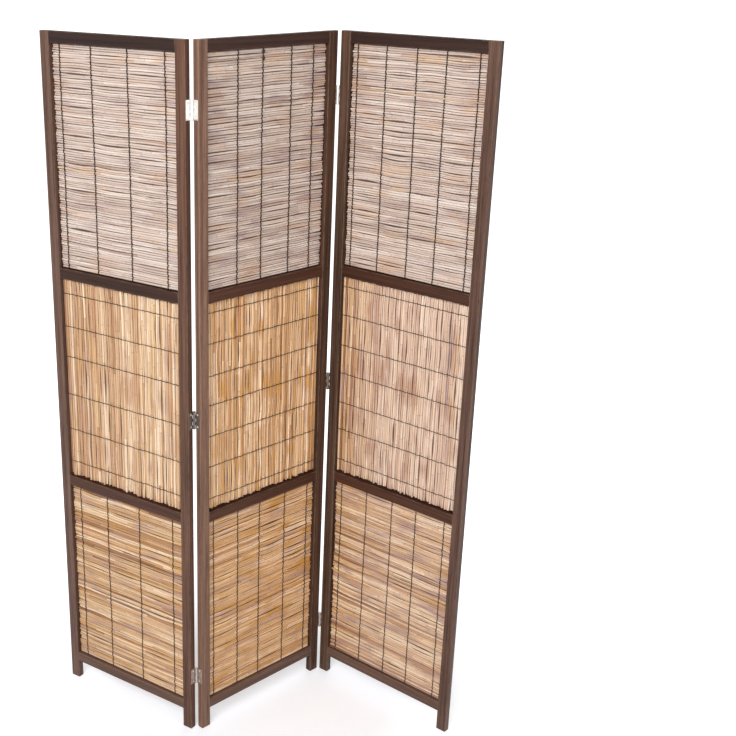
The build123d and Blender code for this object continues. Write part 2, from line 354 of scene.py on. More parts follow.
def add_shade_stem(tubes, dice, lay, index, cut, to_panel):
    """Add the stem that closes the gap after one reed, dark brown as painted shade in the gap."""
    centres, thick = (lay[name][index:index + 2] for name in ("centres", "thick"))
    low, high = centres[0] + thick[0], centres[1] - thick[1]
    radius = np.maximum((high - low) / 2 + SHADE_STEM_OVERLAP, SHADE_STEM_LEAST)
    setback = lay["setback"][index:index + 2].min(axis=0)
    places = np.arange(cut[0], cut[1], SHADE_STEM_STEP)
    blank = np.zeros(len(places))
    add_tube(tubes, lay, places, (low + high) / 2, setback, (radius, 1.0), to_panel,
             reed_tone=blank + dice.random(), reed_joint=blank, reed_pith=blank, reed_husk=blank + 1)


print(f"a husk overlaps the reeds beside it by {1000 * SHADE_STEM_OVERLAP:.1f} mm")

# %% [markdown]
# ## The twine
# The mats are twined, as basket makers say: two strands run along each row, one before a pair of
# reeds and the other behind it, and they change places before the next pair. A single dark tube
# down the front would read as a drawn line. The two strands are modelled as they go, so that the
# row has its beaded look from the front, its crossing in each groove, and a true back.

# %% Build a row of twine
STRAND_SIDES = 6
STRAND_RADII = {"top": 0.0014, "middle": 0.0009, "bottom": 0.00115}
STRAND_SLANT = 0.00012
ROW_DRIFT = 0.0013
DRIFT_SPREAD = 15
PAIR_POINTS = ((0.0, 0.0), (0.13, 0.62), (0.34, 1.0), (0.66, 1.0), (0.87, 0.62))
DEEPEST_BACK = -0.0008
CROSSING = 0.5


def ring_points(centres, radius, side, sides=STRAND_SIDES):
    """Rings of points round a line, square to it, which start towards one side."""
    ahead = np.gradient(centres, axis=0)
    ahead /= np.linalg.norm(ahead, axis=1, keepdims=True)
    first = side - (ahead @ side)[:, None] * ahead
    first /= np.linalg.norm(first, axis=1, keepdims=True)
    second = np.cross(ahead, first)
    angles = np.arange(sides) * 2 * np.pi / sides
    spokes = np.cos(angles)[:, None] * first[:, None] + np.sin(angles)[:, None] * second[:, None]
    return (centres[:, None] + np.reshape(radius, (-1, 1, 1)) * spokes).reshape(-1, 3)


def row_drift(dice, count):
    """How far a row strays from its line at each pair of reeds."""
    steps = dice.normal(0, 1, count + DRIFT_SPREAD)
    smooth = np.convolve(steps, np.ones(DRIFT_SPREAD) / DRIFT_SPREAD, mode="valid")[:count]
    return ROW_DRIFT * smooth


def pair_edges(centre, thick):
    """Where each pair of reeds starts and stops across the mat, with the gaps halved."""
    low_edges = (centre - thick)[::2]
    high_edges = (centre + thick)[1::2]
    between = (high_edges[:-1] + low_edges[1:]) / 2
    return np.append(low_edges[0], between), np.append(between, high_edges[-1])


def add_row(tubes, dice, lay, row, radius, to_panel):
    """Add the two strands of one row of twine, which change places after each pair of reeds."""
    centre, setback, thick = (
        np.array([np.interp(row, lay["stations"], line) for line in lay[name]])
        for name in ("centres", "setback", "thick")
    )
    low_edges, high_edges = pair_edges(centre, thick)
    drift = row_drift(dice, len(low_edges))
    across_row = to_panel(np.ones(1), np.zeros(1), np.zeros(1)) - to_panel(*np.zeros((3, 1)))
    for strand in (0, 1):
        places = []
        for pair, (low, high) in enumerate(zip(low_edges, high_edges)):
            both = slice(2 * pair, 2 * pair + 2)
            way = 1 if (pair + strand) % 2 == 0 else -1
            front = (setback[both] + thick[both]).max() + radius
            behind = max((setback[both] - thick[both]).min() - radius, DEEPEST_BACK)
            middle = (setback[both] + CROSSING * thick[both]).mean()
            reach = (front if way == 1 else behind) - middle
            for share, bulge in PAIR_POINTS:
                slant = way * STRAND_SLANT * (2 * share - 1)
                across = low + share * (high - low)
                places.append((row + drift[pair] + slant, across, middle + bulge * reach))
        places.append((row + drift[-1] + way * STRAND_SLANT, high_edges[-1], middle))
        centres = to_panel(*np.array(places).T)
        lengths = np.linalg.norm(np.diff(centres, axis=0, prepend=centres[:1]), axis=1)
        tubes.add(ring_points(centres, radius, across_row[0]), cord_run=np.cumsum(lengths))


print(f"the strands of twine are {2000 * min(STRAND_RADII.values()):.1f} mm thick and more")

# %% [markdown]
# ## Hang the nine mats
# The reeds of the top and bottom mats lie level, and those of the middle mat stand upright. One
# function serves both, because it builds a mat as distances along the reeds, across them and
# forward from the strips behind them, and a small inner function turns those three distances into
# the panel's directions and then into the room's. The ends are cut unevenly, as in the real mats,
# with the most uneven ones at the feet of the upright reeds.

# %% Stray reeds and a knot
STRAYS = (
    ("right", "top", (-0.185, 1.669), (0.185, 1.663), 0.0019, 0.97),
    ("left", "top", (0.039, 1.445), (0.153, 1.429), 0.0017, 0.3),
    ("right", "bottom", (-0.201, 0.343), (-0.119, 0.331), 0.0018, 0.9),
)
STRAY_STEP = 0.02
STRAY_SAG = 0.6
KNOTS = {("middle", "top", 1): (0.0065, 0.022)}
KNOT_PROFILE = ((-0.005, 0.3), (-0.003, 1.9), (0.0, 2.5), (0.003, 1.8), (0.005, 0.3))


def add_strays(tubes, panel, mat, front):
    """Lay the reeds that have slipped across their neighbours on the front of a mat."""
    for place, level, start, stop, radius, tone in STRAYS:
        if (place, level) != (panel, mat):
            continue
        steps = round(math.dist(start, stop) / STRAY_STEP) + 2
        along = np.linspace(start[0], stop[0], steps)
        up = np.linspace(start[1], stop[1], steps)
        bow = STRAY_SAG * radius * np.sin(np.linspace(0, np.pi, steps))
        local = np.stack((along, front + radius - bow, up), axis=-1)
        blank = np.zeros(steps)
        upwards = np.array((0, 0, 1.0))
        points = ring_points(origins[panel] + local @ axes[panel], radius, upwards, REED_SIDES)
        tubes.add(points, flat_bands=1, reed_tone=blank + tone, reed_joint=blank, reed_pith=blank,
                  reed_husk=blank)


def add_knot(tubes, row, places, forward, radius, to_panel):
    """Tie lumps in a row of twine."""
    for across in places:
        offsets, swells = np.array(KNOT_PROFILE).T
        centres = to_panel(np.full(len(offsets), row), across + offsets, np.full(len(offsets), forward))
        side = np.array((1.0, 0, 0))
        tubes.add(ring_points(centres, radius * swells, side), cord_run=across + offsets)


print(f"{len(STRAYS)} stray reeds and {len(KNOTS)} row with knots")

# %% Make the mats
LEVEL_CUTS = (0.0004, 0.0044)
FOOT_CUTS = (0.0008, 0.0068)
HEAD_CUTS = (0.0003, 0.0025)
SHADE_STEM_CUTS = (0.003, 0.001)
MAT_BACK = 0.0001


def placer(panel, mat, low, high):
    """The function that takes a mat's own distances to the room's."""
    middle = (low + high) / 2

    def to_panel(run, across, forward):
        back = high[1] + MAT_BACK - forward
        if mat == "middle":
            local = np.stack((high[0] - across, back, middle[2] + run), axis=-1)
        else:
            local = np.stack((middle[0] + run, back, high[2] - across), axis=-1)
        return origins[panel] + local @ axes[panel]

    return to_panel


def make_mat(panel, mat, seed, cords):
    """One mat of reeds as a piece, and its rows of twine added to the panel's cords."""
    node = f"{panel}_panel_{mat}_mat"
    low, high = extent(panel, node)
    run, across = (2, 0) if mat == "middle" else (0, 2)
    reach, span = (high - low)[[run, across]]
    rows = twine_rows(panel, mat) - (low[run] + high[run]) / 2
    cuts = (FOOT_CUTS, HEAD_CUTS) if mat == "middle" else (LEVEL_CUTS, LEVEL_CUTS)
    dice = np.random.default_rng(seed)
    lay = lay_reeds(dice, span, reach, rows, MATS[mat])
    to_panel = placer(panel, mat, low, high)
    reeds = Tubes(REED_SIDES)
    for index in range(len(lay["thick"])):
        cut = (dice.uniform(*cuts[0]) - reach / 2, reach / 2 - dice.uniform(*cuts[1]))
        add_reed(reeds, dice, lay, index, cut, dice.normal(TONE_MIDDLE, MATS[mat]["tones"]), to_panel)
    # Stems in the gaps between the pairs, dark brown as painted shade.
    shade_stem_cut = (SHADE_STEM_CUTS[0] - reach / 2, reach / 2 - SHADE_STEM_CUTS[1])
    for index in range(len(lay["thick"]) - 1):
        add_shade_stem(reeds, dice, lay, index, shade_stem_cut, to_panel)
    front = high[1] + MAT_BACK - (lay["setback"] + lay["thick"]).max()
    add_strays(reeds, panel, mat, front)
    for number, row in enumerate(rows):
        add_row(cords, dice, lay, row, STRAND_RADII[mat], to_panel)
        forward = high[1] - front + STRAND_RADII[mat]
        add_knot(cords, row, KNOTS.get((panel, mat, number), ()), forward, STRAND_RADII[mat], to_panel)
    piece = reeds.make(f"{panel}_panel_{mat}_reeds")
    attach(piece, f"{panel}_panel")
    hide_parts(node)
    print(f"{piece.name}: {len(lay['thick'])} reeds, {len(rows)} rows of twine")
    return piece


mats = {}
cord_pieces = {}
for place, panel in enumerate(PANELS):
    cords = Tubes(STRAND_SIDES)
    for level, mat in enumerate(MATS):
        mats[panel, mat] = make_mat(panel, mat, 10 * place + level, cords)
    cord = cords.make(f"{panel}_panel_twine_cords")
    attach(cord, f"{panel}_panel")
    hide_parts(f"{panel}_panel_twine")
    cord_pieces[panel] = cord

# %% [markdown]
# ## Tools for materials
# Node trees are quicker to read in the editor than in code, so the code needs words that read
# like the wires do. One wires a value or a socket into a socket, one adds a node, and the others
# add one kind of node each: a sum, a mix of colours, a change of range or a cloudy noise. Colours
# are written as they look on the screen and turned into the linear values that the renderer needs.

# %% Words for node trees


def paint(code, strength=1.0):
    """A colour from its six-digit code, in linear values."""
    parts = [int(code[place:place + 2], 16) / 255 for place in (0, 2, 4)]
    linear = [part / 12.92 if part <= 0.04045 else ((part + 0.055) / 1.055) ** 2.4 for part in parts]
    return (*(strength * value for value in linear), 1.0)


def wire(tree, value, socket):
    """Link another node's socket into this one, or write a plain value in it."""
    if isinstance(value, bpy.types.NodeSocket):
        tree.links.new(value, socket)
    else:
        socket.default_value = value


def add_node(tree, kind, settings=(), **inputs):
    """A node with its settings, and its inputs wired by name, with _ for a space."""
    node = tree.nodes.new(kind)
    for name, value in dict(settings).items():
        setattr(node, name, value)
    for name, value in inputs.items():
        wire(tree, value, node.inputs[name.replace("_", " ")])
    return node


def sums(tree, operation, *values):
    """One arithmetic step on numbers or sockets."""
    node = tree.nodes.new("ShaderNodeMath")
    node.operation = operation
    for value, socket in zip(values, node.inputs):
        wire(tree, value, socket)
    return node.outputs[0]


def vectors(tree, operation, *values):
    """One arithmetic step on vectors."""
    node = tree.nodes.new("ShaderNodeVectorMath")
    node.operation = operation
    for value, socket in zip(values, node.inputs):
        wire(tree, value, socket)
    return node.outputs[0]


def mix_colours(tree, share, first, second):
    """Two colours mixed by a share, in the colour sockets of a Mix node."""
    node = add_node(tree, "ShaderNodeMix", {"data_type": "RGBA"})
    for value, socket in zip((share, first, second), (0, 6, 7)):
        wire(tree, value, node.inputs[socket])
    return node.outputs[2]


def rescale(tree, value, low, high, to_low=0.0, to_high=1.0):
    """A number moved from one range to another, and held inside it."""
    node = add_node(tree, "ShaderNodeMapRange", {"clamp": True})
    for item, socket in zip((value, low, high, to_low, to_high), node.inputs):
        wire(tree, item, socket)
    return node.outputs[0]


def noise(tree, place, scale, detail=2.0, rough=0.5):
    """A cloudy value between 0 and 1."""
    node = add_node(tree, "ShaderNodeTexNoise", Vector=place, Scale=scale, Detail=detail,
                    Roughness=rough)
    return node.outputs["Fac"]


def new_group(name, inputs, outputs):
    """An empty shader group with named sockets, and its input and output nodes."""
    group = bpy.data.node_groups.new(name, "ShaderNodeTree")
    for label, kind, value in inputs:
        socket = group.interface.new_socket(label, in_out="INPUT", socket_type=f"NodeSocket{kind}")
        socket.default_value = value
    for label, kind in outputs:
        group.interface.new_socket(label, in_out="OUTPUT", socket_type=f"NodeSocket{kind}")
    return group, group.nodes.new("NodeGroupInput"), group.nodes.new("NodeGroupOutput")


def place_group(tree, group, **inputs):
    """A group placed in a material or in another group, with its own values."""
    return add_node(tree, "ShaderNodeGroup", {"node_tree": group}, **inputs)


def new_material(name):
    """A node material with a Principled shader, and its tree and shader."""
    material = bpy.data.materials.new(name)
    material.use_nodes = True
    return material, material.node_tree, material.node_tree.nodes["Principled BSDF"]


def cover(piece, material):
    """Give a piece one material, in place of what it has."""
    piece.data.materials.clear()
    piece.data.materials.append(material)


print(f"a mid brown of 836657 is {[round(v, 3) for v in paint('836657')[:3]]} in linear values")

# %% [markdown]
# ## A place in the panel
# Grain has to follow the wood and streaks have to follow the reeds, whichever way the panel is
# turned. Unwrapping every piece would do it, at the cost of a seam on each. A group that turns the
# piece's own coordinates into the panel's directions needs no unwrapping, and it stays with the
# piece when the screen is folded. Its output always runs along the grain first.

# %% The group that follows the grain
grain_place, entry, result = new_group(
    "grain place",
    (("Turn", "Float", 0.0), ("Centre", "Vector", (0, 0, 0)), ("Upright", "Float", 0.0)),
    (("Place", "Vector"),),
)
here = add_node(grain_place, "ShaderNodeTexCoord").outputs["Object"]
shifted = vectors(grain_place, "SUBTRACT", here, entry.outputs["Centre"])
turned = add_node(
    grain_place, "ShaderNodeVectorRotate", {"rotation_type": "Z_AXIS"},
    Vector=shifted, Angle=sums(grain_place, "MULTIPLY", entry.outputs["Turn"], -1.0),
).outputs[0]
parts = add_node(grain_place, "ShaderNodeSeparateXYZ", Vector=turned).outputs
swapped = add_node(grain_place, "ShaderNodeCombineXYZ", X=parts[2], Y=parts[1], Z=parts[0]).outputs[0]
chosen = add_node(grain_place, "ShaderNodeMix", {"data_type": "VECTOR"})
wire(grain_place, entry.outputs["Upright"], chosen.inputs["Factor"])
wire(grain_place, turned, chosen.inputs[4])
wire(grain_place, swapped, chosen.inputs[5])
wire(grain_place, chosen.outputs[1], result.inputs["Place"])
print(f"{grain_place.name}: {len(grain_place.nodes)} nodes")

# %% [markdown]
# ## Wood grain
# The frames are a straight-grained softwood under a brown stain. The stain sinks deeper into the
# soft early wood, so the grain shows as long streaks, with short dark pores over them. A wave
# texture would draw regular planks. Noise that is stretched hard along the grain gives streaks
# that start and end, and a second, finer noise gives the pores.

# %% The grain group
BROAD_STREAKS = (2.2, 110, 110)
FINE_STREAKS = (9, 620, 620)
PORE_STREAKS = (60, 1500, 1500)
BROAD_SHARE = 0.55

wood_grain, entry, result = new_group(
    "wood grain",
    (("Place", "Vector", (0, 0, 0)), ("Seed", "Float", 0.0)),
    (("Streaks", "Float"), ("Pores", "Float"), ("Height", "Float")),
)
seed = entry.outputs["Seed"]
offset = add_node(wood_grain, "ShaderNodeCombineXYZ", X=seed, Y=seed, Z=seed).outputs[0]
moved = vectors(wood_grain, "ADD", entry.outputs["Place"], offset)
broad = noise(wood_grain, vectors(wood_grain, "MULTIPLY", moved, BROAD_STREAKS), 1.0, 3.0, 0.6)
fine = noise(wood_grain, vectors(wood_grain, "MULTIPLY", moved, FINE_STREAKS), 1.0, 3.0, 0.6)
pore = noise(wood_grain, vectors(wood_grain, "MULTIPLY", moved, PORE_STREAKS), 1.0, 1.0)
streaks = sums(wood_grain, "ADD", sums(wood_grain, "MULTIPLY", broad, BROAD_SHARE),
               sums(wood_grain, "MULTIPLY", fine, 1 - BROAD_SHARE))
pores = rescale(wood_grain, pore, 0.60, 0.72)
wire(wood_grain, rescale(wood_grain, streaks, 0.36, 0.64), result.inputs["Streaks"])
wire(wood_grain, pores, result.inputs["Pores"])
wire(wood_grain, sums(wood_grain, "SUBTRACT", streaks, pores), result.inputs["Height"])
print(f"{wood_grain.name}: {len(wood_grain.nodes)} nodes")

# %% [markdown]
# ## Worn and lit arrises
# The corners of the frame members are lighter. Handling rubs the stain off them first, and the
# lighter colour there is also a painted highlight, for the light that catches the arrises. A bevel
# shader or ambient occlusion could find the corners, but both need extra rays and change with the
# sampling. Every member is a straight bar, so its corners are where the distances to two faces are
# small at once: the second smallest of the three distances, which four steps of least and most
# pick out.

# %% The group for the wear and painted highlight at the corners
worn_arris, entry, result = new_group(
    "arris wear and highlight",
    (("Place", "Vector", (0, 0, 0)), ("Half", "Vector", (1, 1, 1)), ("Reach", "Float", 0.003)),
    (("Wear and highlight", "Float"),),
)
offset = vectors(worn_arris, "ABSOLUTE", entry.outputs["Place"])
distance = vectors(worn_arris, "SUBTRACT", entry.outputs["Half"], offset)
gaps = add_node(worn_arris, "ShaderNodeSeparateXYZ", Vector=distance).outputs
least = sums(worn_arris, "MINIMUM", gaps[0], gaps[1])
most = sums(worn_arris, "MAXIMUM", gaps[0], gaps[1])
second = sums(worn_arris, "MAXIMUM", least, sums(worn_arris, "MINIMUM", most, gaps[2]))
near = rescale(worn_arris, second, entry.outputs["Reach"], 0.0)
patchy = noise(worn_arris, entry.outputs["Place"], 45.0, 4.0, 0.65)
wear_and_highlight = sums(worn_arris, "MULTIPLY", near, rescale(worn_arris, patchy, 0.38, 0.62))
wire(worn_arris, wear_and_highlight, result.inputs["Wear and highlight"])
print(f"{worn_arris.name}: {len(worn_arris.nodes)} nodes")

# %% [markdown]
# ## The stained frame
# No two members are coloured alike: the outer stiles are greyer, the rails a deeper red-brown, and
# the stiles at the right joint are the darkest stiles. The colours are partly stain and partly
# painted light and shade: the stiles at the right joint carry painted shade of the fold, and the
# two high rails are darkened in the left and right panels and lightened in the middle one as
# painted light and shade, so the top of the left panel is darkest. One shared material would make
# the frame look cast in one piece. Each member gets its own material from one function, with its
# own two colours and its own place in the grain, and the groups above do the rest.

# %% The stains, with painted light and shade
# Each stile's two colours are partly stain and partly painted light and shade; the two stiles at the
# right joint, the darkest, carry painted shade of the fold.
STILE_STAINS_AND_SHADE = {
    ("left", "left_stile"): ("3e2a21", "7c5e50"),
    ("left", "right_stile"): ("41291f", "775543"),
    ("middle", "left_stile"): ("553d31", "9a7662"),
    ("middle", "right_stile"): ("2e1c13", "674938"),
    ("right", "left_stile"): ("301f15", "6b5040"),
    ("right", "right_stile"): ("3a261e", "745648"),
}
TOP_RAIL_STAIN = ("271713", "452d25")
RAIL_STAIN = ("331b12", "573627")
BOTTOM_RAIL_STAIN = ("4b352b", "76594b")
# The top and upper rails are darkened in the left and right panels and lightened in the middle one:
# painted light and shade.
HIGH_RAIL_PAINTED_LIGHT = {"left": 0.62, "middle": 1.15, "right": 0.88}
BARE_DOWEL = ("b08f62", "cdb083")
# The lighter brown at the corners is worn wood and also a painted highlight on the arrises.
ARRIS_WEAR_AND_HIGHLIGHT = "8d7260"
WEAR_AND_HIGHLIGHT_DEPTH = 0.45
WEAR_ROUGHNESS = 0.2
PORE_BROWN = "1e1512"
PORE_DEPTH = 0.55
WOOD_ROUGHNESS = (0.56, 0.42)
ARRIS_BAND = 0.0028
GRAIN_BUMP = 0.00012
WOOD_SHINE = 0.2
print(f"{len(STILE_STAINS_AND_SHADE)} stains for the stiles, 3 for the rails")

# %% Stain every member


def stained_wood(name, panel, centre, half, upright, stain, shade, seed):
    """Stained, varnished wood for one straight member, scaled by shade: painted light and shade."""
    material, tree, shader = new_material(name)
    place = place_group(tree, grain_place, Turn=turns[panel], Centre=tuple(centre),
                        Upright=float(upright))
    grain = place_group(tree, wood_grain, Place=place.outputs[0], Seed=seed)
    worn = place_group(tree, worn_arris, Place=place.outputs[0], Half=tuple(half), Reach=ARRIS_BAND)
    dark, light = (paint(code, shade) for code in stain)
    colour = mix_colours(tree, grain.outputs["Streaks"], dark, light)
    pores = sums(tree, "MULTIPLY", grain.outputs["Pores"], PORE_DEPTH)
    pored = mix_colours(tree, pores, colour, paint(PORE_BROWN))
    # Corners lighter: wear, and a painted highlight on the arrises.
    wear_and_highlight = sums(tree, "MULTIPLY", worn.outputs["Wear and highlight"], WEAR_AND_HIGHLIGHT_DEPTH)
    wire(tree, mix_colours(tree, wear_and_highlight, pored, paint(ARRIS_WEAR_AND_HIGHLIGHT)), shader.inputs["Base Color"])
    rough = rescale(tree, grain.outputs["Streaks"], 0.0, 1.0, *WOOD_ROUGHNESS)
    worn_rough = sums(tree, "MULTIPLY", wear_and_highlight, WEAR_ROUGHNESS)
    wire(tree, sums(tree, "ADD", rough, worn_rough), shader.inputs["Roughness"])
    bump = add_node(tree, "ShaderNodeBump", Height=grain.outputs["Height"], Distance=GRAIN_BUMP)
    wire(tree, bump.outputs[0], shader.inputs["Normal"])
    shader.inputs["Specular IOR Level"].default_value = WOOD_SHINE
    return material


def member_box(panel, node, upright):
    """A member's middle in the room, and half its size with the grain first."""
    low, high = extent(panel, node)
    half = (high - low) / 2
    middle = origins[panel] + (low + high) / 2 @ axes[panel]
    return middle, half[[2, 1, 0]] if upright else half


def stain_member(panel, member, upright, stain, seed, shade=1.0):
    """Stain one piece of a panel's frame."""
    node = f"{panel}_panel_{member}"
    middle, half = member_box(panel, node, upright)
    material = stained_wood(f"{node}_stain", panel, middle, half, upright, stain, shade, seed)
    cover(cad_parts[node], material)


SEEDS = {"left_stile": 0.37, "right_stile": 0.0, "top_rail": 3.1, "upper_rail": 3.8,
         "lower_rail": 4.5, "bottom_rail": 5.2, "strip_uprights": 7.3,
         "strip_crosspieces": 9.1, "dowels": 11.7}
for place, panel in enumerate(PANELS):
    for side in ("left_stile", "right_stile"):
        stain_member(panel, side, True, STILE_STAINS_AND_SHADE[panel, side], place + SEEDS[side])
    rails = {"top_rail": TOP_RAIL_STAIN, "upper_rail": RAIL_STAIN,
             "lower_rail": RAIL_STAIN, "bottom_rail": BOTTOM_RAIL_STAIN}
    for rail, stain in rails.items():
        # The high rails get their panel's painted light and shade.
        shade = HIGH_RAIL_PAINTED_LIGHT[panel] if rail in ("top_rail", "upper_rail") else 1.0
        stain_member(panel, rail, False, stain, place + SEEDS[rail], shade)
    stain_member(panel, "strip_uprights", True, RAIL_STAIN, place + SEEDS["strip_uprights"])
    stain_member(panel, "strip_crosspieces", False, RAIL_STAIN, place + SEEDS["strip_crosspieces"])
    stain_member(panel, "dowels", False, BARE_DOWEL, place + SEEDS["dowels"])
print(f"{len(STILE_STAINS_AND_SHADE) + 4 * len(PANELS)} members of the frames are stained")

# %% [markdown]
# ## Reed skin
# A dry reed has a smooth, faintly glossy skin in straw tones, with fine lines along it, a darker
# ring at each joint and an open hollow at its cut ends, whose brown is painted shade inside the
# hollow. The colour could come from noise alone, but then it would flow over from reed to reed.
# Each reed and each section between its joints carries a tone in its mesh, which a ramp of straw
# colours turns into paint, and the noise only adds the lines, the weather marks, a golden gleam
# here and there and the mauve blush where mould had touched a whole handful. The stems in the gaps
# are a dark brown, painted shade. The top mats take a paler, pinker ramp and a paler gold, which
# are painted light: the same reeds, lit more brightly. The middle and bottom mats of the right
# panel are mixed with a pale cream that thins out towards their left ends by the fold, which stay
# darker and more orange as painted shade and bounced light of the fold.

# %% The reed group
SKIN_LINES = (22, 1300, 1300)
BLUSH_CLOUDS = (9, 36, 36)
GOLD_CLOUDS = (9, 34, 34)
WEATHER_MARKS = (160, 420, 420)
LINE_BROWN = "6e4628"
MARK_BROWN = "5b3a22"
JOINT_BROWN = "5a3a20"
HOLLOW_SHADE = "8a6136"
# The dark brown of the stems in the gaps, and its share below, are painted shade.
GAP_SHADE_BROWN = "41240f"
JOINT_SHADE = 0.3
GAP_SHADE_DEPTH = 0.92

reed_skin, entry, result = new_group(
    "reed skin",
    (("Place", "Vector", (0, 0, 0)), ("Straw", "Color", (1, 1, 1, 1)),
     ("Blush", "Color", (1, 1, 1, 1)), ("Gold", "Color", (1, 1, 1, 1)),
     ("Blush share", "Float", 0.5), ("Gold share", "Float", 0.5)),
    (("Color", "Color"), ("Roughness", "Float"), ("Height", "Float")),
)
straw = entry.outputs["Straw"]
place = entry.outputs["Place"]


def tag_value(tree, name):
    """A value that the mesh carries on its points."""
    return add_node(tree, "ShaderNodeAttribute", {"attribute_name": name}).outputs["Fac"]


lines = noise(reed_skin, vectors(reed_skin, "MULTIPLY", place, SKIN_LINES), 1.0, 2.0)
patches = noise(reed_skin, vectors(reed_skin, "MULTIPLY", place, BLUSH_CLOUDS), 1.0, 2.0)
gleams = noise(reed_skin, vectors(reed_skin, "MULTIPLY", place, GOLD_CLOUDS), 1.0, 2.0)
marks = noise(reed_skin, vectors(reed_skin, "MULTIPLY", place, WEATHER_MARKS), 1.0, 3.0, 0.6)
blushing = rescale(reed_skin, patches, 0.5, 0.66)
blush = sums(reed_skin, "MULTIPLY", blushing, entry.outputs["Blush share"])
gleaming = rescale(reed_skin, gleams, 0.52, 0.66)
gold = sums(reed_skin, "MULTIPLY", gleaming, entry.outputs["Gold share"])
blushed = mix_colours(reed_skin, blush, straw, entry.outputs["Blush"])
gilded = mix_colours(reed_skin, gold, blushed, entry.outputs["Gold"])
lining = rescale(reed_skin, lines, 0.35, 0.65, 0.22, 0.0)
lined = mix_colours(reed_skin, lining, gilded, paint(LINE_BROWN))
marking = rescale(reed_skin, marks, 0.62, 0.74, 0.0, 0.45)
marked = mix_colours(reed_skin, marking, lined, paint(MARK_BROWN))
joint = sums(reed_skin, "MULTIPLY", tag_value(reed_skin, "reed_joint"), JOINT_SHADE)
jointed = mix_colours(reed_skin, joint, marked, paint(JOINT_BROWN))
# The hollow cut ends turn brown: painted shade inside the hollow.
hollow_shaded = mix_colours(reed_skin, tag_value(reed_skin, "reed_pith"), jointed, paint(HOLLOW_SHADE))
# The stems in the gaps turn dark brown: painted shade.
shade_stem = sums(reed_skin, "MULTIPLY", tag_value(reed_skin, "reed_husk"), GAP_SHADE_DEPTH)
gap_shaded = mix_colours(reed_skin, shade_stem, hollow_shaded, paint(GAP_SHADE_BROWN))
wire(reed_skin, gap_shaded, result.inputs["Color"])
wire(reed_skin, rescale(reed_skin, lines, 0.3, 0.7, 0.5, 0.36), result.inputs["Roughness"])
wire(reed_skin, lines, result.inputs["Height"])
print(f"{reed_skin.name}: {len(reed_skin.nodes)} nodes")

# %% The straw colours
# The top mats' paler straws, and the paler gold below, are painted light: the same reeds, lit more
# brightly.
PAINTED_LIGHT_STRAWS = ((0.0, "a98f80"), (0.15, "c3ada0"), (0.35, "d5c1b4"), (0.55, "e2d0c4"), (0.78, "f3e5db"),
               (0.9, "e3cbb2"), (1.0, "d2ae88"))
TAN_STRAWS = ((0.0, "8c5a30"), (0.15, "b5814e"), (0.35, "d3a878"), (0.55, "e4be94"), (0.78, "ffe7c8"),
              (0.9, "e2b778"), (1.0, "c4884a"))
PALE_SHARES = {"left": (0.4, 0.25), "middle": (0.75, 0.35), "right": (0.5, 0.35)}
TAN_SHARES = {"left": (0.5, 0.35), "middle": (0.5, 0.8), "right": (0.7, 0.3)}
# The right panel's middle and bottom mats lose their pale mix towards the fold, and stay darker and
# more orange there: painted shade and bounced light.
FOLD_SHADE_RUN = (-0.19, -0.04)
FADES_AND_FOLD_SHADE = {
    ("left", "middle"): ("f0dac8", 0.12, 0.12),
    ("left", "bottom"): ("f0dac8", 0.05, 0.05),
    ("middle", "middle"): ("ffc080", 0.12, 0.12),
    ("middle", "bottom"): ("ffcd98", 0.34, 0.34),
    ("right", "middle"): ("f2dcd0", 0.0, 0.52),
    ("right", "bottom"): ("f2dcce", 0.0, 0.28),
}
NO_FADE = ("ffffff", 0.0, 0.0)
PALE_BLUSH = "b59b96"
PALE_GOLD = "ddb080"
TAN_BLUSH = "b3928f"
TAN_GOLD = "d69c48"
SKIN_BUMP = 0.00008
print(f"{len(PAINTED_LIGHT_STRAWS)} pale straws, {len(TAN_STRAWS)} tan ones, {len(FADES_AND_FOLD_SHADE)} faded mats")

# %% Dress the mats


def reed_material(name, panel, upright, straws, blush, gold, shares, fade_and_shade):
    """Dry reed skin: straw colours with a pale mix, which can thin out to the left as painted shade."""
    material, tree, shader = new_material(name)
    ramp = add_node(tree, "ShaderNodeValToRGB", Fac=tag_value(tree, "reed_tone"))
    stops = ramp.color_ramp.elements
    while len(stops) < len(straws):
        stops.new(0.5)
    for stop, (position, code) in zip(stops, straws):
        stop.position = position
        stop.color = paint(code)
    place = place_group(tree, grain_place, Turn=turns[panel], Centre=tuple(origins[panel]),
                        Upright=float(upright))
    parts = add_node(tree, "ShaderNodeSeparateXYZ", Vector=place.outputs[0]).outputs
    along = parts[2 if upright else 0]
    share = rescale(tree, along, *FOLD_SHADE_RUN, *fade_and_shade[1:])
    straw = mix_colours(tree, share, ramp.outputs["Color"], paint(fade_and_shade[0]))
    skin = place_group(tree, reed_skin, Place=place.outputs[0], Straw=straw,
                       Blush=paint(blush), Gold=paint(gold), Blush_share=shares[0],
                       Gold_share=shares[1])
    wire(tree, skin.outputs["Color"], shader.inputs["Base Color"])
    wire(tree, skin.outputs["Roughness"], shader.inputs["Roughness"])
    bump = add_node(tree, "ShaderNodeBump", Height=skin.outputs["Height"], Distance=SKIN_BUMP)
    wire(tree, bump.outputs[0], shader.inputs["Normal"])
    return material


for (panel, mat), piece in mats.items():
    name = f"{piece.name}_skin"
    fade_and_shade = FADES_AND_FOLD_SHADE.get((panel, mat), NO_FADE)
    # The top mats take the paler ramp, painted light.
    if mat == "top":
        material = reed_material(name, panel, False, PAINTED_LIGHT_STRAWS, PALE_BLUSH, PALE_GOLD,
                                 PALE_SHARES[panel], fade_and_shade)
    else:
        material = reed_material(name, panel, mat == "middle", TAN_STRAWS, TAN_BLUSH, TAN_GOLD,
                                 TAN_SHARES[panel], fade_and_shade)
    cover(piece, material)
print(f"{len(mats)} mats are dressed")

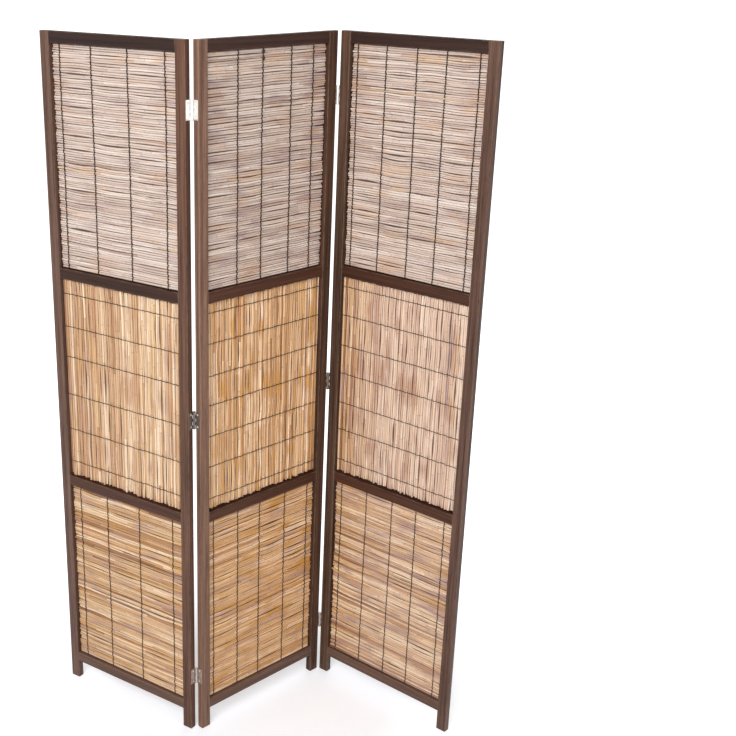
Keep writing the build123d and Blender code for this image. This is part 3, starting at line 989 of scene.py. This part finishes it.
# %% [markdown]
# ## Twine
# The twine is dark and hairy, and nearly black in the grooves. It is a millimetre or two thick,
# so its fibres are smaller than a pixel from a step away, but they still break up its shine.
# A fine noise on the colour, and a bump that winds along the strand, are enough.

# %% Dress the twine
TWINE_BROWNS = ("22140d", "46301f")
FIBRE_SCALE = 2600.0
TWISTS = 3200.0
TWIST_SHARE = 0.3
TWINE_BUMP = 0.0002

material, tree, shader = new_material("dark_twine")
here = add_node(tree, "ShaderNodeTexCoord").outputs["Object"]
fibres = noise(tree, here, FIBRE_SCALE, 3.0, 0.6)
twist = sums(tree, "SINE", sums(tree, "MULTIPLY", tag_value(tree, "cord_run"), TWISTS))
dark, light = (paint(code) for code in TWINE_BROWNS)
wire(tree, mix_colours(tree, fibres, dark, light), shader.inputs["Base Color"])
wire(tree, rescale(tree, fibres, 0.0, 1.0, 0.7, 0.95), shader.inputs["Roughness"])
height = sums(tree, "ADD", fibres, sums(tree, "MULTIPLY", twist, TWIST_SHARE))
bump = add_node(tree, "ShaderNodeBump", Height=height, Distance=TWINE_BUMP)
wire(tree, bump.outputs[0], shader.inputs["Normal"])
for cord in cord_pieces.values():
    cover(cord, material)
print("the twine is dressed")

# %% [markdown]
# ## Hinges and screws
# The hinges are pressed steel with a bright plating, and each height has its own copy of it: the
# top ones are near white, a painted reflection of the light they catch, the middle ones brown and
# dull, and the bottom ones a paler grey. A shared group scuffs them: clouds of tarnish that change
# the colour and the gloss, and fine marks from the press. The screws use it too, in a pale plating
# that stands out on the dull leaves.

# %% The scuff group
scuffs, entry, result = new_group(
    "scuffs",
    (("Size", "Float", 300.0), ("Clean", "Color", (1, 1, 1, 1)),
     ("Tarnish", "Color", (0.2, 0.2, 0.2, 1))),
    (("Color", "Color"), ("Roughness", "Float"), ("Height", "Float")),
)
here = add_node(scuffs, "ShaderNodeTexCoord").outputs["Object"]
clouds = noise(scuffs, here, entry.outputs["Size"], 4.0, 0.6)
scratches = noise(scuffs, vectors(scuffs, "MULTIPLY", here, (900, 900, 4200)), 1.0, 2.0)
dull = rescale(scuffs, clouds, 0.42, 0.68)
tarnished = mix_colours(scuffs, dull, entry.outputs["Clean"], entry.outputs["Tarnish"])
wire(scuffs, tarnished, result.inputs["Color"])
rough = rescale(scuffs, sums(scuffs, "ADD", dull, scratches), 0.2, 1.6, 0.24, 0.5)
wire(scuffs, rough, result.inputs["Roughness"])
wire(scuffs, scratches, result.inputs["Height"])
print(f"{scuffs.name}: {len(scuffs.nodes)} nodes")

# %% Plate the hinges and screws
HINGE_PLATINGS_AND_REFLECTION = {
    # The top hinges' near-white colours are a painted reflection of the light they catch.
    "top": {"clean": "f2f1ee", "tarnish": "d2d0cb", "metal": 1.0, "dullness": 0.0},
    "middle": {"clean": "7f7168", "tarnish": "5a4e47", "metal": 0.8, "dullness": 0.2},
    "bottom": {"clean": "c6bbb2", "tarnish": "9a8f86", "metal": 1.0, "dullness": 0.05},
}
SCREW_PLATING = {"clean": "f6ece4", "tarnish": "d8cbc2", "metal": 0.3, "dullness": 0.1}
PRESS_BUMP = 0.00003


def steel(name, plating):
    """Plated steel, clean and tarnished in clouds, with a share of bare metal and some dullness."""
    material, tree, shader = new_material(name)
    worn = place_group(tree, scuffs, Clean=paint(plating["clean"]), Tarnish=paint(plating["tarnish"]))
    wire(tree, worn.outputs["Color"], shader.inputs["Base Color"])
    rough = sums(tree, "ADD", worn.outputs["Roughness"], plating["dullness"])
    wire(tree, rough, shader.inputs["Roughness"])
    bump = add_node(tree, "ShaderNodeBump", Height=worn.outputs["Height"], Distance=PRESS_BUMP)
    wire(tree, bump.outputs[0], shader.inputs["Normal"])
    shader.inputs["Metallic"].default_value = plating["metal"]
    return material


for height, plating in HINGE_PLATINGS_AND_REFLECTION.items():
    material = steel(f"{height}_hinge_plating", plating)
    for joint in ("left", "right"):
        for piece in ("outer_leaf", "inner_leaf", "pin"):
            cover(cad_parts[f"{joint}_joint_{height}_hinge_{piece}"], material)
screw_steel = steel("screw_plating", SCREW_PLATING)
for panel in PANELS:
    cover(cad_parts[f"{panel}_panel_hinge_screws"], screw_steel)
print(f"{len(HINGE_PLATINGS_AND_REFLECTION)} platings for the hinges, one for the screws")

# %% [markdown]
# ## Floor, light and camera
# The screen stands on a white floor that runs on into a white room. The white comes from what the
# camera sees of the room and the floor, and not from more light on the screen, so that its colours
# stay true. Near the feet the floor glows less, so that the shadow shows. The light is a large
# soft lamp high at the front left, weaker ones at the right and behind, and an even glow from the
# room. The camera's place, tilt and lens were worked out from the corners of the frames in the
# photograph, and its picture is shifted because the screen stands off centre.

# %% Floor
FLOOR_HALF = 40.0
SHADOW_REACH = (0.62, 0.45, 1.0)
FLOOR_GLOW = (0.34, 1.0)
GLOW_RAMP = (0.6, 1.9)
FLOOR_WHITE = (0.78, 0.79, 0.83, 1)

mesh = bpy.data.meshes.new("floor")
corners = [(x * FLOOR_HALF, y * FLOOR_HALF, 0) for x, y in ((-1, -1), (1, -1), (1, 1), (-1, 1))]
mesh.from_pydata(corners, [], [(0, 1, 2, 3)])
floor = bpy.data.objects.new("floor", mesh)
bpy.context.scene.collection.objects.link(floor)
material, tree, shader = new_material("white_floor")
shader.inputs["Base Color"].default_value = FLOOR_WHITE
shader.inputs["Roughness"].default_value = 0.9
shader.inputs["Specular IOR Level"].default_value = 0.1
path = add_node(tree, "ShaderNodeLightPath").outputs
seen = sums(tree, "MAXIMUM", path["Is Camera Ray"],
            sums(tree, "MAXIMUM", path["Is Glossy Ray"], path["Is Transmission Ray"]))
here = add_node(tree, "ShaderNodeTexCoord").outputs["Object"]
spread = vectors(tree, "DIVIDE", here, SHADOW_REACH)
length = add_node(tree, "ShaderNodeVectorMath", {"operation": "LENGTH"}, Vector=spread)
glow = rescale(tree, length.outputs["Value"], *GLOW_RAMP, *FLOOR_GLOW)
shader.inputs["Emission Color"].default_value = (1, 1, 1, 1)
wire(tree, sums(tree, "MULTIPLY", seen, glow), shader.inputs["Emission Strength"])
cover(floor, material)
print(f"the floor is {2 * FLOOR_HALF:.0f} m square")

# %% Light
ROOM_GLOW = 0.42
LAMPS = {
    "key": {"place": (-1.4, -3.2, 3.1), "size": 2.4, "power": 128.0},
    "fill": {"place": (2.4, -2.8, 2.0), "size": 2.0, "power": 22.0},
    "back": {"place": (1.2, 3.6, 2.4), "size": 2.6, "power": 40.0},
}
AIM = (0.0, 0.0, 1.1)

world = bpy.data.worlds.new("white_room")
bpy.context.scene.world = world
world.use_nodes = True
tree = world.node_tree
background = tree.nodes["Background"]
background.inputs["Color"].default_value = (1, 1, 1, 1)
path = add_node(tree, "ShaderNodeLightPath").outputs
seen = sums(tree, "MAXIMUM", path["Is Camera Ray"],
            sums(tree, "MAXIMUM", path["Is Glossy Ray"], path["Is Transmission Ray"]))
wire(tree, rescale(tree, seen, 0.0, 1.0, ROOM_GLOW, 1.0), background.inputs["Strength"])


def aim(thing, place, target):
    """Stand a lamp at a place and turn it to face a target."""
    thing.location = place
    look = np.array(target) - np.array(place)
    flat = math.hypot(look[0], look[1])
    thing.rotation_euler = (math.pi / 2 + math.atan2(look[2], flat), 0, math.atan2(-look[0], look[1]))


for name, values in LAMPS.items():
    lamp = bpy.data.lights.new(name, "AREA")
    lamp.size = values["size"]
    lamp.energy = values["power"]
    holder = bpy.data.objects.new(name, lamp)
    bpy.context.scene.collection.objects.link(holder)
    aim(holder, values["place"], AIM)
print(f"{len(LAMPS)} lamps and a room that glows at {ROOM_GLOW}")

# %% Camera
CAMERA_PLACE = (-0.1127, -2.7875, 2.0110)
CAMERA_TURN = (69.3603, -0.2312, -0.9767)
LENS = 57.58
SHIFT = (0.1829, 0.0151)

camera = bpy.data.cameras.new("camera")
camera.lens = LENS
camera.sensor_width = 36.0
camera.shift_x, camera.shift_y = SHIFT
camera_stand = bpy.data.objects.new("camera", camera)
bpy.context.scene.collection.objects.link(camera_stand)
camera_stand.location = CAMERA_PLACE
camera_stand.rotation_euler = [math.radians(turn) for turn in CAMERA_TURN]
bpy.context.scene.camera = camera_stand
bpy.context.scene.view_settings.view_transform = "Standard"
print(f"the camera stands {CAMERA_PLACE[2]} m up with a {LENS} mm lens")

# %% [markdown]
# ## Finish

# %% Finish
print("the scene is built")
